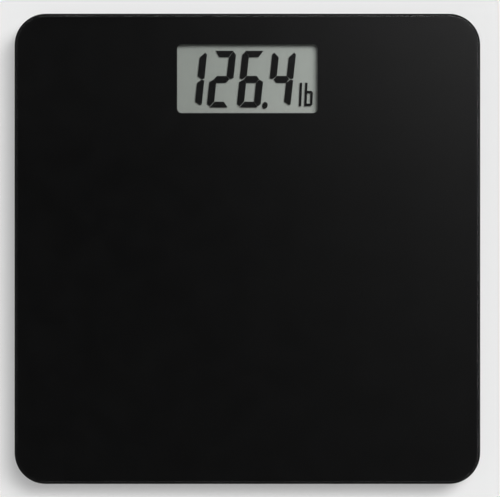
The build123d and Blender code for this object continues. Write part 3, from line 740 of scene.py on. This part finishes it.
@dataclass
class Platform:
    """The glass plate with the black coat fired on its underside.

    Sizes are in millimetres. The coat lies a hair inside the glass, as paint that has wetted it.
    Cutters and searches reach past the surface they are for.
    """

    width: float = 300.0
    depth: float = 303.0
    corner: float = 20.0
    coat_low: float = 17.4
    coat_high: float = 17.52
    coat_edge_high: float = 18.7
    coat_inset: float = 0.06
    coat_round: float = 1.15
    coat_round_steps: int = 4
    rim: float = 1.4
    corner_steps: int = 16
    reach: float = 1.0
    slack: float = 0.05
    window: Point = (90.7, 44.3)
    window_corner: float = 3.0
    window_centre: Point = WINDOW_CENTRE

    def build(self) -> None:
        """Model the coat: a shallow tray round the edge of the glass, open at the window."""
        coat = Bench.rounded_plate(
            "black_coat",
            (0.0, 0.0),
            (self.width - 2 * self.coat_inset, self.depth - 2 * self.coat_inset),
            self.corner - self.coat_inset,
            (self.coat_low, self.coat_edge_high),
            self.corner_steps,
        )
        Bench.clear()
        bpy.context.view_layer.objects.active = coat
        bpy.ops.object.mode_set(mode="EDIT")
        Bench.pick_faces(coat, 1.0, self.coat_high, self.coat_edge_high + self.reach)
        bpy.ops.mesh.inset(thickness=self.rim * MM, use_even_offset=True)
        bpy.ops.mesh.extrude_region_move(
            TRANSFORM_OT_translate={"value": (0.0, 0.0, (self.coat_high - self.coat_edge_high) * MM)}
        )
        Bench.pick_faces(coat, -1.0, self.coat_low - self.reach, self.coat_low + self.slack)
        bpy.ops.mesh.region_to_loop()
        bpy.ops.mesh.bevel(offset=self.coat_round * MM, segments=self.coat_round_steps)
        bpy.ops.mesh.select_all(action="SELECT")
        bpy.ops.mesh.normals_make_consistent(inside=False)
        bpy.ops.object.mode_set(mode="OBJECT")
        opening = Bench.rounded_plate(
            "window_cutter",
            self.window_centre,
            self.window,
            self.window_corner,
            (self.coat_low - self.reach, self.coat_high + self.reach),
        )
        Bench.cut(coat, opening)
        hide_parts("black_backing")
        Bench.finish(coat, Slot.BLACK_COAT)


@dataclass(frozen=True)
class Ends:
    """How the outer end and the waist end of an upright segment are cut, in millimetres.

    Attributes:
        tip: how far the tip stands in from the outer side, and short of the figure's end.
        shoulder: how far the outer side stops short of the figure's end.
        inner: how far the inner side stops short of the figure's end.
        waist: how far the corner at the waist is cut back along the waist, and up the outer side.
    """

    tip: Point
    shoulder: float
    inner: float
    waist: Point


@dataclass(frozen=True)
class SevenSegment:
    """The shapes of one seven-segment digit, in millimetres about its waist."""

    upper: Ends
    lower: Ends
    width: float = 15.3
    rise: float = 18.4
    drop: float = 17.95
    upright: float = 4.45
    bar_high: float = 4.2
    bar_low: float = 3.6
    bar_half: float = 5.75
    bar_slope: float = 2.8
    middle: float = 4.45
    middle_half: float = 5.0
    middle_slope: float = 1.9
    gap: float = 0.3
    lean: float = 6.0

    def bar(self, half_height: float, thickness: float) -> list[Point]:
        """Give the corners of the bar at a figure's end.

        Args:
            half_height: height of the figure's end above its waist.
            thickness: the bar's thickness.

        Returns:
            The corners, in order.
        """
        inner = self.bar_half - self.bar_slope
        return [
            (-self.bar_half, half_height),
            (-inner, half_height - thickness),
            (inner, half_height - thickness),
            (self.bar_half, half_height),
        ]

    def waist_bar(self) -> list[Point]:
        """Give the corners of the middle bar.

        Returns:
            The corners, in order.
        """
        flat = self.middle_half - self.middle_slope
        half = self.middle / 2
        return [
            (-self.middle_half, 0.0),
            (-flat, -half),
            (flat, -half),
            (self.middle_half, 0.0),
            (flat, half),
            (-flat, half),
        ]

    def upright_bar(self, half_height: float, ends: Ends) -> list[Point]:
        """Give the corners of the upper right upright.

        Args:
            half_height: height of the figure's end above its waist.
            ends: how its ends are cut.

        Returns:
            The corners, in order.
        """
        side = self.width / 2
        inner = side - self.upright
        return [
            (inner, half_height - ends.inner),
            (inner, self.middle / 2),
            (side - ends.waist[0], self.gap / 2),
            (side, ends.waist[1]),
            (side, half_height - ends.shoulder),
            (side - ends.tip[0], half_height - ends.tip[1]),
        ]

    def corners(self, segment: str) -> list[Point]:
        """Give the leaned corners of one segment.

        Args:
            segment: its letter, a to g.

        Returns:
            Its corners, in order.
        """
        low = segment in "cde"
        half_height = self.drop if low else self.rise
        if segment == "g":
            shape = self.waist_bar()
        elif segment in "ad":
            shape = self.bar(half_height, self.bar_low if low else self.bar_high)
        else:
            shape = self.upright_bar(half_height, self.lower if low else self.upper)
        across = -1.0 if segment in "ef" else 1.0
        upward = -1.0 if low else 1.0
        slope = math.tan(math.radians(self.lean))
        return [(x * across + y * upward * slope, y * upward) for x, y in shape]


OPEN_FIGURE = SevenSegment(
    upper=Ends(tip=(1.3, 1.15), shoulder=2.4, inner=4.3, waist=(1.8, 0.65)),
    lower=Ends(tip=(0.7, 1.35), shoulder=2.2, inner=3.6, waist=(1.8, 0.65)),
)
"""The shapes of figures without a top and bottom bar."""

CLOSED_FIGURE = SevenSegment(
    upper=Ends(tip=(2.05, 0.4), shoulder=2.6, inner=4.35, waist=(1.9, 0.95)),
    lower=Ends(tip=(1.9, 0.65), shoulder=2.3, inner=3.75, waist=(2.5, 1.6)),
)
"""The shapes of figures with a top and bottom bar."""


@dataclass
class Display:
    """The liquid crystal display seen through the window: pane, figures and pale face.

    Sizes are in millimetres. The figures hang just under the pane, clear of the face, so they shade it.
    """

    window_centre: Point = WINDOW_CENTRE
    pane_size: Point = (96.0, 52.0)
    pane_levels: Point = (13.92, 15.2)
    pane_corner: float = 0.4
    pane_corner_steps: int = 4
    pane_softening: float = 0.12
    face_size: Point = (96.0, 48.0)
    face_levels: Point = (12.6, 13.05)
    face_corner: float = 0.3
    face_corner_steps: int = 3
    face_softening: float = 0.08
    ledge: float = 4.0
    ink_levels: Point = (13.86, 13.9)
    digit_level: float = -0.33
    digits: tuple[tuple[str, float, str, SevenSegment], ...] = (
        ("digit_1", -35.4, "bc", OPEN_FIGURE),
        ("digit_2", -16.7, "abged", CLOSED_FIGURE),
        ("digit_3", 2.6, "acdefg", CLOSED_FIGURE),
        ("digit_4", 21.9, "bcfg", OPEN_FIGURE),
    )
    point_place: Point = (11.3, -17.0)
    point_size: Point = (3.5, 4.3)
    point_steps: int = 24
    unit_bottom: float = -17.5
    unit_height: float = 15.0
    unit_stroke: float = 1.6
    unit_lean: float = 2.4
    letter_l_x: float = 33.1
    letter_b_x: float = 36.55
    bowl_width: float = 5.3
    bowl_height: float = 9.8
    bowl_chamfer: float = 1.1

    def place(self, corners: list[Point]) -> list[Point]:
        """Carry corners given about the window's middle to their place on the part."""
        return [(x + self.window_centre[0], y + self.window_centre[1]) for x, y in corners]

    def ink(self, name: str, shapes: list[list[Point]], stroke: float = 0.0) -> bpy.types.Object:
        """Make one printed figure from flat shapes.

        Args:
            name: the figure's name.
            shapes: corners of each of its parts, about the window's middle.
            stroke: width left when the middle of each part is taken out, or 0.

        Returns:
            The figure.
        """
        low, high = self.ink_levels
        parts = [Bench.plate(name, self.place(shape), low, high, stroke) for shape in shapes]
        return Bench.join(name, parts)

    def lean_unit(self, corners: list[Point]) -> list[Point]:
        """Lean the corners of a unit letter about the letters' foot."""
        slope = math.tan(math.radians(self.unit_lean))
        return [(x + (y - self.unit_bottom) * slope, y) for x, y in corners]

    def strip(self, left: float, low: float, high: float) -> list[Point]:
        """Give the corners of an upright stroke of a unit letter, leaned."""
        right = left + self.unit_stroke
        return self.lean_unit([(left, low), (right, low), (right, high), (left, high)])

    def build(self) -> None:
        """Model the face, the pane and every figure."""
        self.build_face()
        self.build_pane()
        for name, middle, segments, figure in self.digits:
            shapes = [
                [(x + middle, y + self.digit_level) for x, y in figure.corners(segment)]
                for segment in segments
            ]
            Bench.finish(self.ink(name, shapes), Slot.DISPLAY_GREY)
        self.build_point()
        self.build_unit()

    def build_face(self) -> None:
        """Model the pale face behind the figures."""
        face = Bench.rounded_plate(
            "display_face",
            (self.window_centre[0], self.window_centre[1] + self.ledge / 2),
            self.face_size,
            self.face_corner,
            self.face_levels,
            self.face_corner_steps,
        )
        Bench.soften(face, self.face_softening)
        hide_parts("lcd_rear_glass", "lcd_reflector")
        Bench.finish(face, Slot.REFLECTOR_FOIL)

    def build_pane(self) -> None:
        """Model the clear pane over the figures."""
        pane = Bench.rounded_plate(
            "display_pane",
            self.window_centre,
            self.pane_size,
            self.pane_corner,
            self.pane_levels,
            self.pane_corner_steps,
        )
        Bench.soften(pane, self.pane_softening)
        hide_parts("front_polariser", "lcd_front_glass")
        Bench.finish(pane, Slot.DISPLAY_GLASS)

    def build_point(self) -> None:
        """Model the oval decimal point."""
        slope = math.tan(math.radians(OPEN_FIGURE.lean))
        outline = []
        for step in range(self.point_steps):
            angle = step * math.tau / self.point_steps
            up = math.sin(angle) * self.point_size[1] / 2
            across = math.cos(angle) * self.point_size[0] / 2 + up * slope
            outline.append((self.point_place[0] + across, self.point_place[1] + up))
        Bench.finish(self.ink("decimal_point", [outline]), Slot.DISPLAY_GREY)

    def build_unit(self) -> None:
        """Model the two letters of the unit."""
        top = self.unit_bottom + self.unit_height
        letter_l = self.ink("unit_letter_l", [self.strip(self.letter_l_x, self.unit_bottom, top)])
        Bench.finish(letter_l, Slot.DISPLAY_GREY)
        left = self.letter_b_x
        right = left + self.bowl_width
        low = self.unit_bottom
        high = low + self.bowl_height
        chamfer = self.bowl_chamfer
        bowl = [
            (left, low),
            (right - chamfer, low),
            (right, low + chamfer),
            (right, high - chamfer),
            (right - chamfer, high),
            (left, high),
        ]
        stem = self.ink("letter_b_stem", [self.strip(left, high, top)])
        ring = self.ink("letter_b_bowl", [self.lean_unit(bowl)], self.unit_stroke)
        Bench.finish(Bench.join("unit_letter_b", [stem, ring]), Slot.DISPLAY_GREY)


@dataclass(frozen=True)
class Foot:
    """One foot: the sides it stands on, and where its tongue's root points, in degrees from +X."""

    name: str
    body: Body
    sides: Point
    turn: float


@dataclass
class LoadCells:
    """The steel cell over each foot: a fixed frame, and a tongue, which in the real cell bends up as the foot
    is pressed; here the tongue is modelled straight.

    Sizes are in millimetres about the foot's middle, with the tongue's root towards +X. Cutters reach
    past the frame, and the bands stop short of the ends by their margins.
    """

    size: float = 34.0
    corner: float = 5.0
    opening: float = 26.0
    levels: Point = (9.2, 11.2)
    hole_radius: float = 1.05
    hole_offset: float = 15.0
    hole_steps: int = 24
    tongue_ends: Point = (-9.0, 5.0)
    tongue_width: float = 14.0
    tongue_corner: float = 2.0
    neck_width: float = 8.0
    block_ends: Point = (5.5, 12.5)
    block_width: float = 7.0
    block_corner: float = 1.0
    block_height: float = 1.3
    block_softening: float = 0.3
    block_softening_steps: int = 3
    corner_steps: int = 5
    softening: float = 0.1
    bands: int = 8
    tongue_band_margin: float = 0.2
    block_band_margin: float = 0.5
    reach: float = 1.0
    foot_place: Point = (112.0, 113.5)
    feet: tuple[Foot, ...] = (
        Foot("front_left", Body.FRONT_LEFT_FOOT, (-1.0, -1.0), 90.0),
        Foot("front_right", Body.FRONT_RIGHT_FOOT, (1.0, -1.0), 90.0),
        Foot("rear_left", Body.REAR_LEFT_FOOT, (-1.0, 1.0), 0.0),
        Foot("rear_right", Body.REAR_RIGHT_FOOT, (1.0, 1.0), 180.0),
    )

    def build(self) -> None:
        """Model one cell and place a copy over every foot."""
        patterns = (self.build_frame(), self.build_tongue(), self.build_block())
        for foot in self.feet:
            self.place(foot, *patterns)
        Bench.clear()
        for pattern in patterns:
            pattern.select_set(True)
        bpy.ops.object.delete()

    def build_frame(self) -> bpy.types.Object:
        """Model the outer frame with its square opening and two screw holes.

        Returns:
            The frame.
        """
        low = self.levels[0] - self.reach
        high = self.levels[1] + self.reach
        sides = (self.size, self.size)
        frame_plate = Bench.rounded_plate("cell_frame", (0.0, 0.0), sides, self.corner, self.levels)
        half = self.opening / 2
        square = [(-half, -half), (half, -half), (half, half), (-half, half)]
        Bench.cut(frame_plate, Bench.plate("opening_cutter", square, low, high))
        for side in (-1.0, 1.0):
            centre = (0.0, side * self.hole_offset)
            circle = self.arc(centre, self.hole_radius, 0.0, math.tau, self.hole_steps)[:-1]
            Bench.cut(frame_plate, Bench.plate("hole_cutter", circle, low, high))
        Bench.soften(frame_plate, self.softening)
        return frame_plate

    @staticmethod
    def arc(centre: Point, radius: float, start: float, end: float, steps: int) -> list[Point]:
        """Give points on an arc.

        Args:
            centre: its centre, in millimetres.
            radius: its radius, in millimetres.
            start: angle of its first point, in radians.
            end: angle of its last point, in radians.
            steps: straight runs along it.

        Returns:
            The points, both ends included.
        """
        angles = [start + (end - start) * step / steps for step in range(steps + 1)]
        return [(centre[0] + radius * math.cos(a), centre[1] + radius * math.sin(a)) for a in angles]

    def build_tongue(self) -> bpy.types.Object:
        """Model the tongue with the neck that joins it to the frame.

        Returns:
            The tongue.
        """
        back, front = self.tongue_ends
        root = self.opening / 2
        neck = self.neck_width / 2
        radius = self.tongue_corner
        side = self.tongue_width / 2 - radius
        quarter = math.pi / 2
        outline = [(root, -neck), (root, neck), (front, neck)]
        right = front - radius
        left = back + radius
        for number, middle in enumerate(((right, side), (left, side), (left, -side), (right, -side))):
            outline += self.arc(middle, radius, number * quarter, (number + 1) * quarter, self.corner_steps)
        outline.append((front, -neck))
        tongue = Bench.plate("cell_tongue", outline, *self.levels)
        Bench.soften(tongue, self.softening)
        Bench.band(tongue, front, root - self.tongue_band_margin, self.bands)
        return tongue

    def build_block(self) -> bpy.types.Object:
        """Model the soft block that seals the gauges on the neck.

        Returns:
            The block.
        """
        start, end = self.block_ends
        top = self.levels[1]
        block = Bench.rounded_plate(
            "gauge_block",
            ((start + end) / 2, 0.0),
            (end - start, self.block_width),
            self.block_corner,
            (top, top + self.block_height),
        )
        Bench.soften(block, self.block_softening, self.block_softening_steps)
        Bench.band(block, start + self.block_band_margin, end - self.block_band_margin, self.bands)
        return block

    def place(self, foot: Foot, *patterns: bpy.types.Object) -> None:
        """Place a copy of the frame, the tongue and the block over one foot.

        Args:
            foot: the foot.
            patterns: the frame, the tongue and the block.
        """
        middle = (foot.sides[0] * self.foot_place[0], foot.sides[1] * self.foot_place[1], 0.0)
        shift = Vector(middle) * MM
        turned = Matrix.Translation(shift) @ Matrix.Rotation(math.radians(foot.turn), 4, "Z")
        held, bent, soft = patterns
        fixed = Bench.repeat(held, f"cell_frame_{foot.name}", turned)
        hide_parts(f"load_cell_{foot.name}")
        Bench.finish(fixed, Slot.CELL_STEEL)
        tongue = Bench.repeat(bent, f"cell_tongue_{foot.name}", turned)
        Bench.coat(tongue, Slot.CELL_STEEL)
        block = Bench.repeat(soft, f"gauge_block_{foot.name}", turned)
        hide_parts(f"gauge_potting_{foot.name}")
        Bench.coat(block, Slot.WHITE_SILICONE)
        for piece in (tongue, block):
            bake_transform(piece)


@dataclass
class CadParts:
    """The solid parts carried over as they are, which only take better finishes."""

    nodes: dict[str, bpy.types.Object]

    def dress(self) -> None:
        """Give every shown part the finish of its slot."""
        for name, node in sorted(self.nodes.items()):
            if node.hide_render:
                continue
            slot = Slot(node.material_slots[0].material.name.split(".")[0])
            node.material_slots[0].material = FINISHES[slot].make()
            LOG.info("%s: dressed as %s", name, slot.value)


# ---------------------------------------------------------------- studio


@dataclass
class Surroundings:
    """What is seen, mirrored and lit from beyond the floor.

    The camera and matt surfaces meet plain surroundings. Mirrors meet a glow overhead, a ring of light for
    the rounded edge of the glass, and a low horizon. A direction's slopes are how far it goes sideways and
    lengthways for one of height, and its tilt is both together.
    """

    backdrop: float = 0.82
    ambient: float = 0.12
    behind_glass: float = 0.02
    mirror_span: float = 0.0558
    glow_left: float = 0.93
    glow_limit: float = 1.15
    glow_base: Point = (0.032, 0.055)
    glow_base_rise: Point = (0.3, 0.7)
    glow_strength: float = 0.0455
    glow_lift: float = 1.12
    ring_strength: float = 0.85
    ring_right: float = 0.6
    ring_back: float = 0.45
    ring_start: Point = (0.075, 0.15)
    ring_end: Point = (0.45, 0.8)
    horizon_tilt: Point = (0.75, 1.1)
    horizon_strength: float = 0.1
    below_share: float = 0.4
    level_band: float = 0.02
    least_tilt: float = 0.001

    def build(self) -> None:
        """Make the world shader."""
        world = bpy.data.worlds.new("studio")
        world.use_nodes = True
        bpy.context.scene.world = world
        graph = Graph(world.node_tree)
        path = graph.node("ShaderNodeLightPath")
        camera = path.outputs["Is Camera Ray"]
        matt = path.outputs["Is Diffuse Ray"]
        through = path.outputs["Is Transmission Ray"]
        plain = graph.math(
            "ADD",
            graph.math("MULTIPLY", camera, self.backdrop),
            graph.math("MULTIPLY", matt, self.ambient),
        )
        plain = graph.math("ADD", plain, graph.math("MULTIPLY", through, self.behind_glass))
        seen = graph.math("MAXIMUM", graph.math("MAXIMUM", camera, matt), through)
        mirror_share = graph.math("SUBTRACT", 1.0, seen)
        strength = graph.math("ADD", plain, graph.math("MULTIPLY", self.mirrored(graph), mirror_share))
        background = graph.tree.nodes["Background"]
        graph.feed(background.inputs["Strength"], strength)
        graph.feed(background.inputs["Color"], (1.0, 1.0, 1.0, 1.0))

    def mirrored(self, graph: Graph) -> bpy.types.NodeSocket:
        """Brightness that mirrors meet in every direction.

        Args:
            graph: the world's nodes.

        Returns:
            The brightness.
        """
        split = graph.node("ShaderNodeSeparateXYZ")
        graph.feed(split.inputs[0], graph.node("ShaderNodeTexCoord").outputs["Generated"])
        height = split.outputs["Z"]
        up = graph.math("MAXIMUM", height, self.level_band)
        slope_x = graph.math("DIVIDE", split.outputs["X"], up)
        slope_y = graph.math("DIVIDE", split.outputs["Y"], up)
        tilt = graph.math(
            "SQRT",
            graph.math("ADD", graph.math("POWER", slope_x, 2.0), graph.math("POWER", slope_y, 2.0)),
        )
        overhead = graph.span(tilt, *self.horizon_tilt, 1.0, 0.0)
        glow = graph.math("MULTIPLY", self.glow(graph, slope_x, slope_y), overhead)
        high = graph.math("ADD", glow, self.ring(graph, slope_x, slope_y, tilt))
        low = graph.span(tilt, *self.horizon_tilt, 0.0, self.horizon_strength)
        above = graph.span(height, -self.level_band, self.level_band, self.below_share, 1.0)
        return graph.math("MULTIPLY", graph.math("ADD", high, low), above)

    def glow(self, graph: Graph, slope_x: object, slope_y: object) -> bpy.types.NodeSocket:
        """Brightness mirrored by the flat top: dark at the lower left, rising to the upper right.

        Args:
            graph: the world's nodes.
            slope_x: sideways slope of the direction.
            slope_y: lengthways slope of the direction.

        Returns:
            The brightness.
        """
        across = graph.math("MINIMUM", graph.math("DIVIDE", slope_x, self.mirror_span), self.glow_limit)
        across = graph.math("MAXIMUM", across, -self.glow_left)
        along = graph.math("MINIMUM", graph.math("DIVIDE", slope_y, self.mirror_span), self.glow_limit)
        along = graph.math("MAXIMUM", along, -self.glow_limit)
        rise = graph.math("POWER", graph.math("ADD", across, self.glow_left), 2.0)
        lift = graph.math("EXPONENT", graph.math("MULTIPLY", along, self.glow_lift))
        base = graph.span(along, *self.glow_base_rise, *self.glow_base)
        bright = graph.math("MULTIPLY", self.glow_strength, graph.math("MULTIPLY", rise, lift))
        return graph.math("ADD", base, bright)

    def ring(self, graph: Graph, slope_x: object, slope_y: object, tilt: object) -> bpy.types.NodeSocket:
        """Brightness mirrored by the rounded edge of the glass, strongest on the right and at the back.

        Args:
            graph: the world's nodes.
            slope_x: sideways slope of the direction.
            slope_y: lengthways slope of the direction.
            tilt: how far the direction leans from straight up.

        Returns:
            The brightness.
        """
        length = graph.math("MAXIMUM", tilt, self.least_tilt)
        right = graph.math("MULTIPLY", graph.math("DIVIDE", slope_x, length), self.ring_right)
        back = graph.math("MULTIPLY", graph.math("DIVIDE", slope_y, length), self.ring_back)
        strength = graph.math("ADD", self.ring_strength, graph.math("ADD", right, back))
        rising = graph.span(tilt, *self.ring_start, 0.0, 1.0)
        falling = graph.span(tilt, *self.ring_end, 1.0, 0.0)
        return graph.math("MULTIPLY", strength, graph.math("MULTIPLY", rising, falling))


@dataclass
class Studio:
    """Floor, lamps and camera."""

    seen_width: float = 322.0
    lens: float = 300.0
    sensor: float = 36.0
    platform_top: float = 23.5
    aim: Point = (1.66, 0.22)
    floor_colour: Colour = (0.78, 0.78, 0.78)
    key_slopes: tuple[Point, ...] = ((0.26, 0.36), (0.66, 0.52))
    key_spread: float = 25.0
    key_strength: float = 0.98
    overhead_spread: float = 3.0
    overhead_strength: float = 1.37
    floor_size: float = 12.0
    floor_drop: float = 0.0002
    camera_reach: float = 50.0

    def build(self, lit_pieces: list[bpy.types.Object]) -> None:
        """Set up everything round the object.

        Args:
            lit_pieces: the pieces that the overhead lamp reaches.
        """
        floor = self.build_floor()
        self.build_lamps([floor, *lit_pieces])
        Surroundings().build()
        self.build_camera()
        bpy.context.scene.view_settings.view_transform = "Standard"

    def build_floor(self) -> bpy.types.Object:
        """Lay the pale floor.

        Returns:
            The floor.
        """
        Bench.clear()
        bpy.ops.mesh.primitive_plane_add(size=self.floor_size, location=(0.0, 0.0, -self.floor_drop))
        floor = bpy.context.object
        floor.name = "studio_floor"
        finish = Finish(
            "pale_floor", self.floor_colour, variation=0.004, blotch=300.0, roughness=0.9, bump=0.0, wear=0.0
        )
        floor.data.materials.append(finish.make())
        floor.visible_glossy = False
        floor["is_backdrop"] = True
        return floor

    def lamp(self, name: str, slope: Point, spread: float, strength: float) -> bpy.types.Object:
        """Hang one far, soft lamp.

        Args:
            name: the lamp's name.
            slope: sideways and lengthways slope of the direction it shines from.
            spread: how wide it looks from the object, in degrees.
            strength: its strength.

        Returns:
            The lamp.
        """
        data = bpy.data.lights.new(name, "SUN")
        data.angle = math.radians(spread)
        data.energy = strength
        lamp = bpy.data.objects.new(name, data)
        bpy.context.scene.collection.objects.link(lamp)
        lamp.location = Vector((slope[0], slope[1], 1.0))
        lamp.rotation_euler = (-lamp.location).to_track_quat("-Z", "Y").to_euler()
        lamp.visible_glossy = False
        lamp.visible_transmission = False
        lamp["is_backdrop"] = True
        return lamp

    def build_lamps(self, lit: list[bpy.types.Object]) -> None:
        """Hang the soft key from the upper right, and an overhead fill that leaves the display alone.

        Args:
            lit: the objects that the overhead fill reaches.
        """
        for number, slope in enumerate(self.key_slopes, start=1):
            self.lamp(f"key_lamp_{number}", slope, self.key_spread, self.key_strength)
        overhead = self.lamp("overhead_lamp", (0.0, 0.0), self.overhead_spread, self.overhead_strength)
        reached = bpy.data.collections.new("overhead_reach")
        for piece in lit:
            reached.objects.link(piece)
        overhead.light_linking.receiver_collection = reached

    def build_camera(self) -> None:
        """Set the camera straight above, at the distance where the picture's width fits."""
        data = bpy.data.cameras.new("camera")
        data.lens = self.lens
        data.sensor_width = self.sensor
        data.clip_end = self.camera_reach
        camera = bpy.data.objects.new("camera", data)
        bpy.context.scene.collection.objects.link(camera)
        distance = self.seen_width * self.lens / self.sensor
        camera.location = Vector((self.aim[0], self.aim[1], self.platform_top + distance)) * MM
        bpy.context.scene.camera = camera


def main() -> None:
    """Build the object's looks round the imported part, then the studio."""
    logging.basicConfig(level=logging.INFO, format="%(name)s %(message)s")
    for name in ("Cube", "Light", "Camera"):
        if name in bpy.data.objects:
            bpy.data.objects.remove(bpy.data.objects[name])
    bpy.context.view_layer.update()
    Platform().build()
    Display().build()
    LoadCells().build()
    CadParts(frame["nodes"]).dress()
    lit = [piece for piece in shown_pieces() if piece.name != "display_face"]
    Studio().build(lit)
    bpy.context.view_layer.update()


if __name__ == "__main__":
    main()
